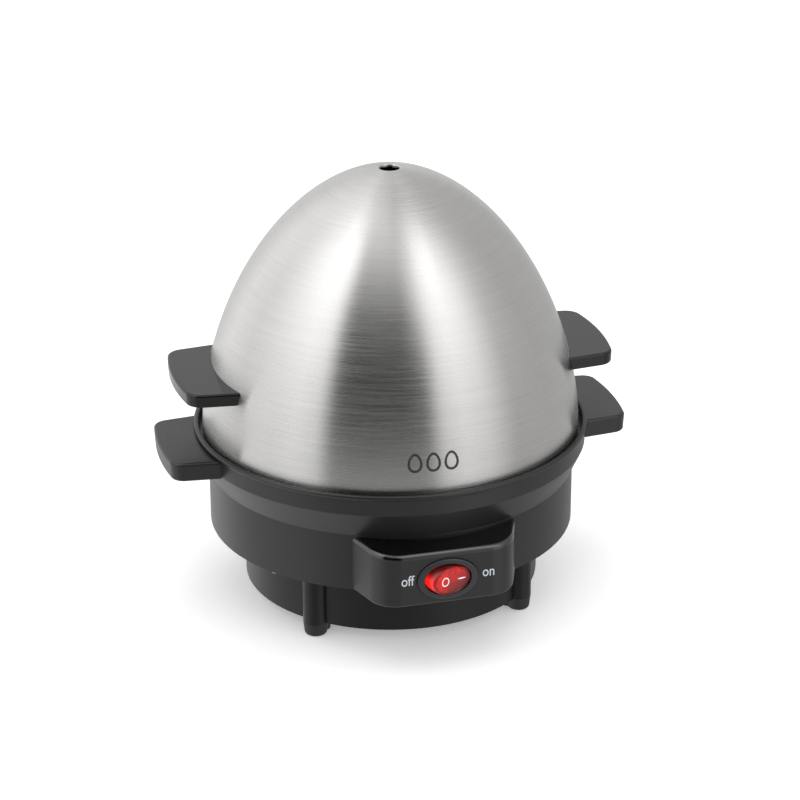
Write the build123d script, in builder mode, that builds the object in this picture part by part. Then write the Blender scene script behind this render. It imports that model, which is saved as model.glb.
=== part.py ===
from build123d import *
import os
from math import cos, radians, sin, sqrt

os.makedirs("parts", exist_ok=True)

# Seven-egg steam egg cooker. Millimetres, +Z up, the floor at z = 0, the body's upright axis on Z.
# The switch faces -Y, the handles point along +X and -X, and the cord gland faces +Y.

# ---- Driving dimensions -------------------------------------------------------------------------
WALL = 2.0               # moulded wall of the base
FLANGE_T = 1.6           # flange of the pan, inside the body wall
BODY_R = 77.0            # upright body wall
BAND_R = 82.0            # upper band under the rim bead
SKIRT_R = 62.5           # recessed skirt
SKIRT_Z = 5.7            # bottom of the skirt
BODY_Z = 31.2            # bottom of the body wall
CREASE_Z = 55.5          # where the shoulder starts to widen
BAND_Z = 66.7            # where the shoulder meets the band
BEAD_R = 1.1             # rim bead, a round rod on top of the band
BEAD_PITCH_R = 81.8
BEAD_Z = 74.4
LEDGE_Z = 70.6           # ledge that the lid and the rack sit over
BAND_INNER_R = BEAD_PITCH_R - BEAD_R

DOME_R = 79.1            # steel dome, outside
DOME_T = 0.8
DOME_Z = 74.7            # where the dome leaves its upright rim
DOME_TOP_Z = 184.4
DOME_POWER_R = 1.898     # powers of the superellipse that the dome follows
DOME_POWER_Z = 1.73
HEM_R = 0.9              # rolled hem along the lid's edge
HEM_Z = 71.9
VENT_R = 4.15

BASE_GRIP_TOP = 73.4     # handles of the base
BASE_GRIP_T = 8.0
BASE_GRIP_REACH = 99.3
LID_GRIP_TOP = 103.7     # handles of the lid
LID_GRIP_T = 5.5
LID_GRIP_REACH = 92.5

BOX_FRONT = 88.0         # front face of the switch housing, from the axis
BOX_TOP_Z = 52.8         # its top at the front, rising towards the body
BOX_CREST_Z = 55.2       # its top where it is level, 60 from the axis
BOX_CROWN_R = 163.0
BOX_HALF_W = 26.85       # half width where its sides would meet its front, before rounding
BOX_FLARE = 0.38         # how far each side spreads outward per millimetre towards the body
BOX_CORNER_R = 12.0
BOX_LOW_Z = 30.4         # its lower edge at the front, rising to the body's lower edge
SWITCH_Z = 41.1
BEZEL_T = 1.2
BEZEL = (12.5, 8.7)      # half axes of the oval bezel
OPENING = (9.7, 6.8)     # half axes of the oval opening that the rocker moves in
SWITCH_WALL = 1.3
SWITCH_BACK = 70.0       # back of the switch's body, from the axis
ROCKER = (9.35, 6.45)    # half axes of the rocker's spheroid
ROCKER_TURN = 16.0       # each way from the middle; at rest it is switched on
ROCKER_FACE = 4.24       # face ahead of the pivot
PIVOT_Y = -87.0
ARM_TURN = 5.0           # contact arm, each way from the middle

FOOT_PITCH_R = 62.0      # rubber feet under the four columns of the skirt
COLUMN_R = 5.25
LOBE_PITCH_R = 58.0
SCREW_PITCH_R = 71.6     # screws that hold the pan to the housing
SCREW_ANGLES = (35, 145, 215, 325)

RACK_Z = 70.9            # underside of the rack's plate
RACK_T = 1.8
RACK_R = 76.6
EGG_HOLE_R = 16.5
EGG_PITCH_R = 45.0
COLLAR_T = 1.6
COLLAR_Z = 65.0

SEAT_Z = 57.5            # seat of the plate's seal
SEAT_R = 60.5
PLATE_R = 66.5
PLATE_FLANGE_Z = 58.5
PLATE_UNDER_Z = 48.0
ELEMENT_R = 40.0
ELEMENT_TUBE_R = 4.0
ELEMENT_Z = 44.9
CLAMP_Z = 38.0
CLAMP_T = 1.5
STUD_R = 2.0
STUD_PITCH_R = 22.0
STUD_ANGLES = (30, 150, 270)

GLAND_Z = 44.0
GLAND_BORE_R = 3.2
GLAND_HOLE_R = 5.6
GLAND_REACH = 10.0       # collar beyond the gland's flange
PAD_Y = 79.5


# ---- Helpers ------------------------------------------------------------------------------------
def radial_plane(angle):
    """Upright plane through the axis: local x runs outward at this angle, local y is up."""
    a = radians(angle)
    return Plane(origin=(0, 0, 0), x_dir=(cos(a), sin(a), 0), z_dir=(sin(a), -cos(a), 0))


def polar(radius, angle):
    """X and Y of a point given by its radius and angle."""
    return (radius * cos(radians(angle)), radius * sin(radians(angle)))


def facing(point, direction):
    """Plane at a point with its normal along a direction that isn't upright."""
    return Plane(origin=point, x_dir=Vector(0, 0, 1).cross(Vector(*direction)), z_dir=direction)


def dome_point(turn, inset=0.0):
    """Radius and height on the dome, turn 0 at its rim and 90 at its top, inset along the normal."""
    rise = sin(radians(turn)) ** (2 / DOME_POWER_Z)
    across = max(cos(radians(turn)), 0.0) ** (2 / DOME_POWER_R)
    height = DOME_TOP_Z - DOME_Z
    lean_r = DOME_POWER_R / DOME_R * across ** (DOME_POWER_R - 1)
    lean_z = DOME_POWER_Z / height * rise ** (DOME_POWER_Z - 1)
    length = sqrt(lean_r**2 + lean_z**2)
    radius = DOME_R * across - inset * lean_r / length
    return (radius, DOME_Z + height * rise - inset * lean_z / length)


def dome_radius(z):
    """Outside radius of the dome at a height."""
    rise = (z - DOME_Z) / (DOME_TOP_Z - DOME_Z)
    return DOME_R * (1 - rise**DOME_POWER_Z) ** (1 / DOME_POWER_R)


def dome_curve(inset):
    """Half outline of the dome from its rim to its top, drawn in the current BuildLine."""
    points = [dome_point(turn, inset) for turn in range(0, 81, 10)]
    points.append((0, DOME_TOP_Z - inset))
    return Spline(*points, tangents=[(0, 1), (-1, 0)])


def grip_plan(root_x, root_y, reach, end_x, end_y, corner_r):
    """Plan of a handle on the +X side: sides that close in and an end that bows out."""
    with BuildLine() as outline:
        Polyline((end_x, -end_y), (root_x, -root_y), (root_x, root_y), (end_x, end_y))
        ThreePointArc((end_x, end_y), (reach, 0), (end_x, -end_y))
    face = make_face(outline.edges())
    fillet(face.vertices().group_by(Axis.X)[-1], corner_r)


def box_plan(inset):
    """Plan of the switch housing: the origin is the middle of its front face, local y runs back."""
    side = inset * sqrt(1 + BOX_FLARE**2)
    front_x, back_x = (BOX_HALF_W - side + BOX_FLARE * y for y in (inset, 24))
    with BuildLine() as outline:
        Polyline((back_x, 24), (front_x, inset), (-front_x, inset), (-back_x, 24), close=True)
    face = make_face(outline.edges())
    fillet(face.vertices().group_by(Axis.Y)[0], BOX_CORNER_R - inset)


def add_screw(seat, head_r, head_h, shank_r, length):
    """Pan head screw with a cross recess; seat is the plane under its head, facing the driver."""
    with BuildSketch(seat) as head:
        Circle(head_r)
    extrude(head.sketch, amount=head_h)
    with BuildSketch(seat) as shank:
        Circle(shank_r)
    extrude(shank.sketch, amount=-length)
    with BuildSketch(seat.offset(head_h)) as recess:
        Rectangle(1.3 * head_r, 0.3 * head_r)
        Rectangle(0.3 * head_r, 1.3 * head_r)
    extrude(recess.sketch, amount=-0.5 * head_h, mode=Mode.SUBTRACT)


def add_wire(*route, radius=1.1, bend=5.0):
    """Insulated wire along straight runs joined by arcs."""
    with BuildLine() as run:
        FilletPolyline(*route, radius=bend)
    with BuildSketch(Plane(origin=run.line @ 0, z_dir=run.line % 0)) as section:
        Circle(radius)
    sweep(section.sketch, path=run.line)


# ---- Base housing: rim, shoulder, body wall, handles and switch housing in one moulding ---------
with BuildPart() as grips:
    with BuildSketch(Plane.XY.offset(BASE_GRIP_TOP)):
        grip_plan(70, 26.2, BASE_GRIP_REACH, 97.0, 23.2, 6.0)
        Circle(BAND_INNER_R + 0.3, mode=Mode.SUBTRACT)
    extrude(amount=-BASE_GRIP_T, taper=3)
    outer_edges = [e for e in grips.faces().sort_by(Axis.Z)[-1].edges() if e.center().X > BAND_R + 1]
    fillet(outer_edges, 1.2)
    outer_edges = [e for e in grips.faces().sort_by(Axis.Z)[0].edges() if e.center().X > BAND_R + 1]
    fillet(outer_edges, 0.9)
    mirror(about=Plane.YZ)

with BuildPart() as switch_box:
    with BuildSketch(Plane(origin=(0, -BOX_FRONT, BOX_LOW_Z))):
        box_plan(0)
    extrude(amount=BOX_CREST_Z - BOX_LOW_Z + 1)
    with BuildSketch(Plane.YZ):
        with Locations((-75, BOX_CREST_Z)):
            Rectangle(40, 20)
        with Locations((-60, BOX_CREST_Z - BOX_CROWN_R)):
            Circle(BOX_CROWN_R, mode=Mode.SUBTRACT)
        with BuildLine():
            Polyline((-BOX_FRONT - 1, BOX_LOW_Z), (-60, BOX_LOW_Z + 1.1), (-60, 20),
                     (-BOX_FRONT - 1, 20), close=True)
        make_face()
    extrude(amount=60, both=True, mode=Mode.SUBTRACT)
    with BuildSketch(Plane.XY.offset(BOX_LOW_Z - 1)):
        Circle(BODY_R - 1)
    extrude(amount=30, mode=Mode.SUBTRACT)
    top_edges = switch_box.faces().sort_by(Axis.Z)[-1].edges()
    fillet([e for e in top_edges if abs(e.center().X) > 1 or e.center().Y < 1 - BOX_FRONT], 2.0)
    low_edges = switch_box.faces().sort_by(Axis.Z)[0].edges()
    fillet([e for e in low_edges if abs(e.center().X) > 1 or e.center().Y < 1 - BOX_FRONT], 0.8)

with BuildPart() as base_housing:
    with BuildSketch(Plane.XZ):
        with BuildLine():
            Polyline(
                (BODY_R, BODY_Z),
                (BODY_R, CREASE_Z),
                (BAND_R, BAND_Z),
                (BAND_R, BEAD_Z),
                (BAND_INNER_R, BEAD_Z),
                (BAND_INNER_R, LEDGE_Z),
                (73.0, LEDGE_Z),
                (68.5, 61.5),
                (67.3, 60.4),
                (67.3, SEAT_Z),
                (SEAT_R, SEAT_Z),
                (SEAT_R, SEAT_Z - WALL),
                (69.3, SEAT_Z - WALL),
                (69.3, 59.4),
                (70.3, 60.6),
                (74.1, LEDGE_Z - 2.2),
                (BAND_R - WALL, LEDGE_Z - 2.2),
                (BAND_R - WALL, BAND_Z + 0.4),
                (BODY_R - WALL, CREASE_Z + 0.4),
                (BODY_R - WALL, BODY_Z),
                close=True,
            )
        section = make_face()
        outer = section.vertices().filter_by(lambda v: v.X >= BODY_R)
        fillet(outer.filter_by(lambda v: abs(v.Z - BODY_Z) < 0.1), 0.8)
        fillet(outer.filter_by(lambda v: abs(v.Z - BAND_Z) < 0.1), 0.5)
        with Locations((BEAD_PITCH_R, BEAD_Z)):
            Circle(BEAD_R)
    revolve(axis=Axis.Z)
    add(grips.part)
    add(switch_box.part)
    # Flat pad for the cord gland on the back, and bosses for the case screws.
    with BuildSketch(Plane.XZ.offset(-PAD_Y)):
        with Locations((0, GLAND_Z)):
            Circle(10.5)
    extrude(amount=PAD_Y - BODY_R + WALL + 0.5)
    with BuildSketch(Plane.XY.offset(BODY_Z + FLANGE_T)):
        with Locations(*[polar(SCREW_PITCH_R, a) for a in SCREW_ANGLES]):
            Circle(3.3)
    extrude(amount=58.0 - BODY_Z - FLANGE_T)
    with BuildSketch(Plane.XY.offset(BODY_Z + FLANGE_T)):
        with Locations(*[polar(SCREW_PITCH_R, a) for a in SCREW_ANGLES]):
            Circle(1.4)
    extrude(amount=18, mode=Mode.SUBTRACT)
    # Hollow of the switch housing, open to the inside of the body and below.
    with BuildSketch(Plane(origin=(0, -BOX_FRONT, BODY_Z - 1))):
        box_plan(2.2)
    extrude(amount=BOX_TOP_Z - 2.9 - BODY_Z + 1, mode=Mode.SUBTRACT)
    with BuildSketch(Plane.XZ.offset(BOX_FRONT + 1)):
        with Locations((0, SWITCH_Z)):
            Ellipse(OPENING[0] + SWITCH_WALL + 0.1, OPENING[1] + SWITCH_WALL + 0.1)
    extrude(amount=-6, mode=Mode.SUBTRACT)
    with BuildSketch(Plane.XZ.offset(-PAD_Y - 1)):
        with Locations((0, GLAND_Z)):
            Circle(GLAND_HOLE_R)
    extrude(amount=10, mode=Mode.SUBTRACT)

# ---- Base pan: flange, skirt, floor and four foot columns ---------------------------------------
with BuildPart() as base_pan:
    with BuildSketch(Plane.XZ):
        with BuildLine():
            Polyline(
                (0, SKIRT_Z),
                (SKIRT_R, SKIRT_Z),
                (SKIRT_R, BODY_Z),
                (BODY_R - WALL - 0.2, BODY_Z),
                (BODY_R - WALL - 0.2, BODY_Z + FLANGE_T),
                (SKIRT_R - WALL, BODY_Z + FLANGE_T),
                (SKIRT_R - WALL, SKIRT_Z + WALL),
                (0, SKIRT_Z + WALL),
                close=True,
            )
        floor_section = make_face()
        fillet(floor_section.vertices().filter_by(lambda v: v.X > 60 and abs(v.Z - SKIRT_Z) < 0.1), 1.0)
    revolve(axis=Axis.Z)
    with BuildSketch(Plane.XY.offset(SKIRT_Z)):
        with PolarLocations(FOOT_PITCH_R, 4, start_angle=45):
            Circle(COLUMN_R)
    extrude(amount=BODY_Z - SKIRT_Z + 1)
    # Tongue that closes the switch housing from below, under the switch's body.
    with BuildSketch(Plane(origin=(0, -BOX_FRONT, BODY_Z))):
        box_plan(2.4)
        with Locations((0, BOX_FRONT)):
            Circle(BODY_R - WALL - 1, mode=Mode.SUBTRACT)
    extrude(amount=FLANGE_T)
    # Sockets for the feet, holes for the case screws and cooling slots in the floor.
    with BuildSketch(Plane.XY.offset(SKIRT_Z)):
        with PolarLocations(FOOT_PITCH_R, 4, start_angle=45):
            Circle(2.2)
    extrude(amount=12, mode=Mode.SUBTRACT)
    with BuildSketch(Plane.XY.offset(BODY_Z)):
        with Locations(*[polar(SCREW_PITCH_R, a) for a in SCREW_ANGLES]):
            Circle(1.6)
    extrude(amount=WALL, mode=Mode.SUBTRACT)
    with BuildSketch(Plane.XY.offset(SKIRT_Z)):
        with PolarLocations(40, 12):
            SlotOverall(16, 3)
    extrude(amount=WALL, mode=Mode.SUBTRACT)

with BuildPart() as rubber_feet:
    with BuildSketch(Plane.XY):
        with PolarLocations(FOOT_PITCH_R, 4, start_angle=45):
            Circle(COLUMN_R - 0.65)
    extrude(amount=SKIRT_Z, taper=-6)
    fillet(rubber_feet.faces().filter_by(Plane.XY).group_by(Axis.Z)[0].edges(), 1.4)
    with BuildSketch(Plane.XY.offset(0.9)):
        with PolarLocations(LOBE_PITCH_R, 4, start_angle=45):
            Circle(4.0)
    extrude(amount=SKIRT_Z - 0.9)
    with BuildSketch(Plane.XY.offset(SKIRT_Z)):
        with PolarLocations(FOOT_PITCH_R, 4, start_angle=45):
            Circle(2.1)
    extrude(amount=10)

with BuildPart() as case_screws:
    for angle in SCREW_ANGLES:
        place = polar(SCREW_PITCH_R, angle)
        add_screw(Plane(origin=(*place, BODY_Z), z_dir=(0, 0, -1)), 2.8, 2.0, 1.3, 17)

# ---- Cord gland: a bush through the pad at the back, with a nut inside --------------------------
with BuildPart() as cord_gland:
    with BuildSketch(Plane.XZ.offset(-PAD_Y)):
        with Locations((0, GLAND_Z)):
            Circle(8.5)
    extrude(amount=-2.2)
    fillet(cord_gland.edges().group_by(Axis.Y)[-1], 0.8)
    with BuildSketch(Plane.XZ.offset(-PAD_Y - 2.2)):
        with Locations((0, GLAND_Z)):
            Circle(6.2)
    extrude(amount=-GLAND_REACH, taper=5)
    fillet(cord_gland.edges().group_by(Axis.Y)[-1], 0.6)
    with BuildSketch(Plane.XZ.offset(-PAD_Y)):
        with Locations((0, GLAND_Z)):
            Circle(GLAND_HOLE_R - 0.1)
    extrude(amount=9.5)
    with BuildSketch(Plane.XZ.offset(-PAD_Y - 15)):
        with Locations((0, GLAND_Z)):
            Circle(GLAND_BORE_R)
    extrude(amount=30, mode=Mode.SUBTRACT)

with BuildPart() as gland_nut:
    with BuildSketch(Plane.XZ.offset(-74.3)):
        with Locations((0, GLAND_Z)):
            RegularPolygon(8.6, 6)
            Circle(GLAND_HOLE_R, mode=Mode.SUBTRACT)
    extrude(amount=3.5)

# ---- Lid ----------------------------------------------------------------------------------------
SCREW_Z = LID_GRIP_TOP - LID_GRIP_T / 2
GRIP_SCREW_ANGLES = (11, -11, 169, 191)
WASHER_R = 3.6
WASHER_T = 0.8
GRIP_SEAT_R = dome_radius(SCREW_Z + WASHER_R) - DOME_T - 0.3

with BuildPart() as lid_dome:
    with BuildSketch(Plane.XZ):
        with BuildLine():
            outside = dome_curve(0)
            inside = dome_curve(DOME_T)
            Line(outside @ 1, inside @ 1)
            Line(inside @ 0, (DOME_R - DOME_T, HEM_Z))
            Line((DOME_R - DOME_T, HEM_Z), (DOME_R, HEM_Z))
            Line((DOME_R, HEM_Z), outside @ 0)
        make_face()
        with Locations((DOME_R - HEM_R, HEM_Z)):
            Circle(HEM_R)
    revolve(axis=Axis.Z)
    with BuildSketch(Plane.XY.offset(DOME_TOP_Z - 10)):
        Circle(VENT_R)
    extrude(amount=20, mode=Mode.SUBTRACT)
    for angle in GRIP_SCREW_ANGLES:
        with BuildSketch(facing((*polar(60, angle), SCREW_Z), (*polar(1, angle), 0))):
            Circle(1.7)
        extrude(amount=30, mode=Mode.SUBTRACT)

with BuildPart() as dome_envelope:
    with BuildSketch(Plane.XZ):
        with BuildLine():
            envelope = dome_curve(-0.12)
            Polyline(envelope @ 1, (0, DOME_Z), envelope @ 0)
        make_face()
    revolve(axis=Axis.Z)

with BuildPart() as lid_handle_right:
    with BuildSketch(Plane.XY.offset(LID_GRIP_TOP)):
        grip_plan(56, 29.4, LID_GRIP_REACH, 89.4, 25.6, 7.0)
    extrude(amount=-LID_GRIP_T, taper=2)
    fillet(lid_handle_right.faces().sort_by(Axis.Z)[-1].edges().filter_by_position(Axis.X, 60, 100), 1.0)
    fillet(lid_handle_right.faces().sort_by(Axis.Z)[0].edges().filter_by_position(Axis.X, 60, 100), 0.7)
    add(dome_envelope.part, mode=Mode.SUBTRACT)
    for angle in GRIP_SCREW_ANGLES[:2]:
        with BuildSketch(facing((*polar(60, angle), SCREW_Z), (*polar(1, angle), 0))):
            Circle(1.45)
        extrude(amount=24, mode=Mode.SUBTRACT)

with BuildPart() as lid_handle_left:
    add(mirror(lid_handle_right.part, about=Plane.YZ, mode=Mode.PRIVATE))

with BuildPart() as lid_handle_washers:
    for angle in GRIP_SCREW_ANGLES:
        inward = (*polar(-1, angle), 0)
        with BuildSketch(facing((*polar(GRIP_SEAT_R, angle), SCREW_Z), inward)):
            Circle(WASHER_R)
            Circle(1.6, mode=Mode.SUBTRACT)
        extrude(amount=WASHER_T)

with BuildPart() as lid_handle_screws:
    for angle in GRIP_SCREW_ANGLES:
        inward = (*polar(-1, angle), 0)
        seat = facing((*polar(GRIP_SEAT_R - WASHER_T, angle), SCREW_Z), inward)
        add_screw(seat, 2.9, 1.9, 1.4, 11)

# ---- Egg rack: lift-out tray with seven egg holes -----------------------------------------------
with BuildPart() as egg_rack:
    with BuildSketch(Plane.XY.offset(RACK_Z)):
        Circle(RACK_R)
    extrude(amount=RACK_T)
    with BuildSketch(Plane.XY.offset(RACK_Z)):
        Circle(RACK_R)
        Circle(RACK_R - 1.6, mode=Mode.SUBTRACT)
    extrude(amount=5.6)
    with BuildSketch(Plane.XY.offset(COLLAR_Z)):
        with Locations((0, 0), *[polar(EGG_PITCH_R, a) for a in range(0, 360, 60)]):
            Circle(EGG_HOLE_R + COLLAR_T)
    extrude(amount=RACK_Z - COLLAR_Z)
    with BuildSketch(Plane.XY.offset(COLLAR_Z)):
        with Locations((0, 0), *[polar(EGG_PITCH_R, a) for a in range(0, 360, 60)]):
            Circle(EGG_HOLE_R)
        with PolarLocations(58, 6, start_angle=30):
            Circle(3.0)
    extrude(amount=RACK_Z - COLLAR_Z + RACK_T, mode=Mode.SUBTRACT)
    # Two lifting tabs.
    for side in (1, -1):
        with BuildSketch(Plane.YZ.offset(side * 70.6 - 1.0)):
            with Locations((0, RACK_Z + 11)):
                RectangleRounded(21, 19.5, 5)
        extrude(amount=2.0)

# ---- Heating plate and what holds it ------------------------------------------------------------
with BuildPart() as heating_plate:
    with BuildSketch(Plane.XZ):
        with BuildLine():
            Polyline(
                (0, PLATE_UNDER_Z),
                (55.0, PLATE_UNDER_Z + 1.4),
                (59.9, PLATE_FLANGE_Z),
                (PLATE_R, PLATE_FLANGE_Z),
                (PLATE_R, PLATE_FLANGE_Z + 1.5),
                (59.0, PLATE_FLANGE_Z + 1.5),
                (54.0, PLATE_UNDER_Z + 3.3),
                (0, PLATE_UNDER_Z + 1.9),
                close=True,
            )
        dish = make_face()
        fillet(dish.vertices().filter_by(lambda v: 50 < v.X < 60), 1.5)
    revolve(axis=Axis.Z)

with BuildPart() as plate_seal:
    with BuildSketch(Plane.XZ):
        with Locations((63.7, SEAT_Z + 0.5)):
            RectangleRounded(5.0, 1.0, 0.4)
    revolve(axis=Axis.Z)

with BuildPart() as heating_element:
    with BuildSketch(radial_plane(120)):
        with Locations((ELEMENT_R, ELEMENT_Z)):
            Circle(ELEMENT_TUBE_R)
    revolve(axis=Axis.Z, revolution_arc=300)
    for side in (1, -1):
        end = (*polar(ELEMENT_R, 90 - 30 * side), ELEMENT_Z)
        along = (-side * cos(radians(30)), sin(radians(30)), 0)
        with BuildSketch(facing(end, along)):
            Circle(1.5)
        extrude(amount=8)
        with BuildSketch(facing(end, along).offset(8)):
            Rectangle(0.8, 6.3)
        extrude(amount=6)

with BuildPart() as plate_studs:
    with BuildSketch(Plane.XY.offset(33)):
        with Locations(*[polar(STUD_PITCH_R, a) for a in STUD_ANGLES]):
            Circle(STUD_R)
    extrude(amount=PLATE_UNDER_Z + 0.5 - 33)

with BuildPart() as clamp_plate:
    with BuildSketch(Plane.XY.offset(CLAMP_Z)):
        Circle(30)
        Circle(11, mode=Mode.SUBTRACT)
        with Locations(*[polar(STUD_PITCH_R, a) for a in STUD_ANGLES]):
            Circle(STUD_R + 0.2, mode=Mode.SUBTRACT)
    extrude(amount=CLAMP_T)
    for angle in (90, 210, 330):
        with BuildSketch(radial_plane(angle)):
            with BuildLine():
                FilletPolyline(
                    (28, CLAMP_Z + CLAMP_T / 2),
                    (52, CLAMP_Z + CLAMP_T / 2),
                    (63, SEAT_Z - WALL - CLAMP_T / 2),
                    (67.5, SEAT_Z - WALL - CLAMP_T / 2),
                    radius=2.5,
                )
            trace(line_width=CLAMP_T)
        extrude(amount=6, both=True)

with BuildPart() as clamp_washers:
    with BuildSketch(Plane.XY.offset(CLAMP_Z - 1)):
        with Locations(*[polar(STUD_PITCH_R, a) for a in STUD_ANGLES[:2]]):
            Circle(4.5)
            Circle(STUD_R + 0.1, mode=Mode.SUBTRACT)
    extrude(amount=1)

with BuildPart() as clamp_nuts:
    with BuildSketch(Plane.XY.offset(CLAMP_Z - 1 - 3.2)):
        with Locations(*[polar(STUD_PITCH_R, a) for a in STUD_ANGLES]):
            RegularPolygon(4.0, 6)
            Circle(STUD_R + 0.05, mode=Mode.SUBTRACT)
    extrude(amount=3.2)

with BuildPart() as earth_tag:
    with BuildSketch(Plane.XY.offset(CLAMP_Z - 1)):
        with Locations((0, -STUD_PITCH_R)):
            Circle(4.5)
        with Locations((7, -STUD_PITCH_R)):
            Rectangle(9, 4)
        with Locations((0, -STUD_PITCH_R)):
            Circle(STUD_R + 0.1, mode=Mode.SUBTRACT)
    extrude(amount=1)

# ---- Thermostat and thermal fuse ----------------------------------------------------------------
with BuildPart() as thermostat:
    with BuildSketch(Plane.XY.offset(43.5)):
        Circle(8.0)
    extrude(amount=PLATE_UNDER_Z - 43.5)
    with BuildSketch(Plane.XY.offset(36.5)):
        Circle(7.6)
    extrude(amount=7.0)
    with BuildSketch(Plane.XY.offset(28.5)):
        with Locations((4.6, 0), (-4.6, 0)):
            Rectangle(0.8, 6.3)
    extrude(amount=8.0)

with BuildPart() as thermostat_bracket:
    with BuildSketch(Plane.XZ):
        with BuildLine():
            Polyline(
                (-16.5, CLAMP_Z + CLAMP_T + 0.5),
                (-13.0, CLAMP_Z + CLAMP_T + 0.5),
                (-13.0, 43.0),
                (13.0, 43.0),
                (13.0, CLAMP_Z + CLAMP_T + 0.5),
                (16.5, CLAMP_Z + CLAMP_T + 0.5),
            )
        trace(line_width=0.9)
    extrude(amount=4.5, both=True)
    with BuildSketch(Plane.XY.offset(42.55)):
        Circle(10.5)
    extrude(amount=0.9)
    with BuildSketch(Plane.XY.offset(42)):
        Circle(7.7)
    extrude(amount=2, mode=Mode.SUBTRACT)

FUSE_Y = 21.0
FUSE_Z = CLAMP_Z + CLAMP_T + 2.3
with BuildPart() as thermal_fuse:
    with BuildSketch(Plane.YZ.offset(-8)):
        with Locations((FUSE_Y, FUSE_Z)):
            Circle(2.2)
    extrude(amount=16)
    with BuildSketch(Plane.YZ.offset(-12)):
        with Locations((FUSE_Y, FUSE_Z)):
            Circle(0.6)
    extrude(amount=24)

with BuildPart() as fuse_clip:
    with BuildSketch(Plane.YZ.offset(-3)):
        with Locations((FUSE_Y, FUSE_Z)):
            Circle(3.1)
            Circle(2.25, mode=Mode.SUBTRACT)
            with Locations((0, -3.0)):
                Rectangle(8, 2.9, mode=Mode.SUBTRACT)
        with Locations((FUSE_Y + 4.6, CLAMP_Z + CLAMP_T + 0.45), (FUSE_Y - 4.6, CLAMP_Z + CLAMP_T + 0.45)):
            Rectangle(4.4, 0.9)
    extrude(amount=6)

# ---- Switch: frame, rocker, plunger, contact arm, terminals and lamp ----------------------------
with BuildPart() as switch_frame:
    with BuildSketch(Plane.XZ.offset(BOX_FRONT)):
        with Locations((0, SWITCH_Z)):
            Ellipse(*BEZEL)
    extrude(amount=BEZEL_T)
    fillet(switch_frame.faces().sort_by(Axis.Y)[0].edges(), 0.7)
    with BuildSketch(Plane.XZ.offset(BOX_FRONT)):
        with Locations((0, SWITCH_Z)):
            Ellipse(OPENING[0] + SWITCH_WALL, OPENING[1] + SWITCH_WALL)
    extrude(amount=-(BOX_FRONT - SWITCH_BACK))
    with BuildSketch(Plane.XZ.offset(BOX_FRONT + BEZEL_T)):
        with Locations((0, SWITCH_Z)):
            Ellipse(*OPENING)
    extrude(amount=-(BOX_FRONT + BEZEL_T - SWITCH_BACK - WALL), mode=Mode.SUBTRACT)
    # Fulcrum of the contact arm and the holes of the rocker's pivot pins.
    with BuildSketch(Plane.XZ.offset(SWITCH_BACK + WALL)):
        with Locations((0, SWITCH_Z)):
            Rectangle(1.2, 6)
    extrude(amount=1.5)
    with BuildSketch(Plane.XY.offset(SWITCH_Z - 7.75)):
        with Locations((0, PIVOT_Y)):
            Circle(1.05)
    extrude(amount=15.5, mode=Mode.SUBTRACT)

TURN = radians(ROCKER_TURN)
ROCKER_PLAN = Plane(origin=(0, PIVOT_Y, SWITCH_Z), x_dir=(cos(TURN), sin(TURN), 0), z_dir=(0, 0, 1))
ROCKER_BACK = Plane(origin=ROCKER_PLAN.origin, x_dir=ROCKER_PLAN.x_dir, z_dir=ROCKER_PLAN.y_dir)
with BuildPart() as switch_rocker:
    with BuildSketch(Plane(origin=ROCKER_PLAN.origin, x_dir=(1, 0, 0), z_dir=(0, -1, 0))):
        Ellipse(*ROCKER)
        with Locations((-10, 0)):
            Rectangle(20, 20, mode=Mode.SUBTRACT)
    revolve(axis=Axis(ROCKER_PLAN.origin, (0, 0, 1)))
    face_x = sqrt(ROCKER[0] ** 2 - ROCKER_FACE**2)
    with BuildSketch(ROCKER_PLAN.offset(-10)):
        with BuildLine():
            ThreePointArc((-face_x, -ROCKER_FACE), (0, -ROCKER_FACE + 0.5), (face_x, -ROCKER_FACE))
            Polyline((face_x, -ROCKER_FACE), (12, -12), (-12, -12), (-face_x, -ROCKER_FACE))
        make_face()
        with Locations((0, 9.5)):
            Rectangle(24, 8)
    extrude(amount=20, mode=Mode.SUBTRACT)
    fillet(switch_rocker.edges().filter_by(lambda e: e.center().Y < PIVOT_Y - 3), 0.4)
    # Guide of the plunger, then the pivot pins.
    with BuildSketch(ROCKER_BACK.offset(5)):
        Circle(2.2)
    extrude(amount=3)
    with BuildSketch(ROCKER_BACK.offset(2)):
        Circle(1.25)
    extrude(amount=6, mode=Mode.SUBTRACT)
    with BuildSketch(ROCKER_PLAN.offset(-7.6)):
        Circle(1.0)
    extrude(amount=15.2)

with BuildPart() as rocker_plunger:
    with BuildSketch(ROCKER_BACK.offset(5.2)):
        Circle(1.2)
    extrude(amount=6.3)
    fillet(rocker_plunger.edges().filter_by(GeomType.CIRCLE).sort_by(Axis.Y)[-1], 0.9)

with BuildPart() as plunger_spring:
    with BuildLine() as coil:
        Helix(pitch=0.9, height=2.7, radius=0.8, center=ROCKER_BACK.offset(2.3).origin,
              direction=ROCKER_BACK.z_dir)
    with BuildSketch(Plane(origin=coil.line @ 0, z_dir=coil.line % 0)):
        Circle(0.2)
    sweep(path=coil.line, is_frenet=True)

ARM_Y = -73.9
TILT = radians(-ARM_TURN)
with BuildPart() as contact_arm:
    arm_plan = Plane(origin=(0, ARM_Y, SWITCH_Z - 2), x_dir=(cos(TILT), sin(TILT), 0), z_dir=(0, 0, 1))
    with BuildSketch(arm_plan):
        with Locations((0, -0.3)):
            Rectangle(12, 0.6)
    extrude(amount=4)

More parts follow.
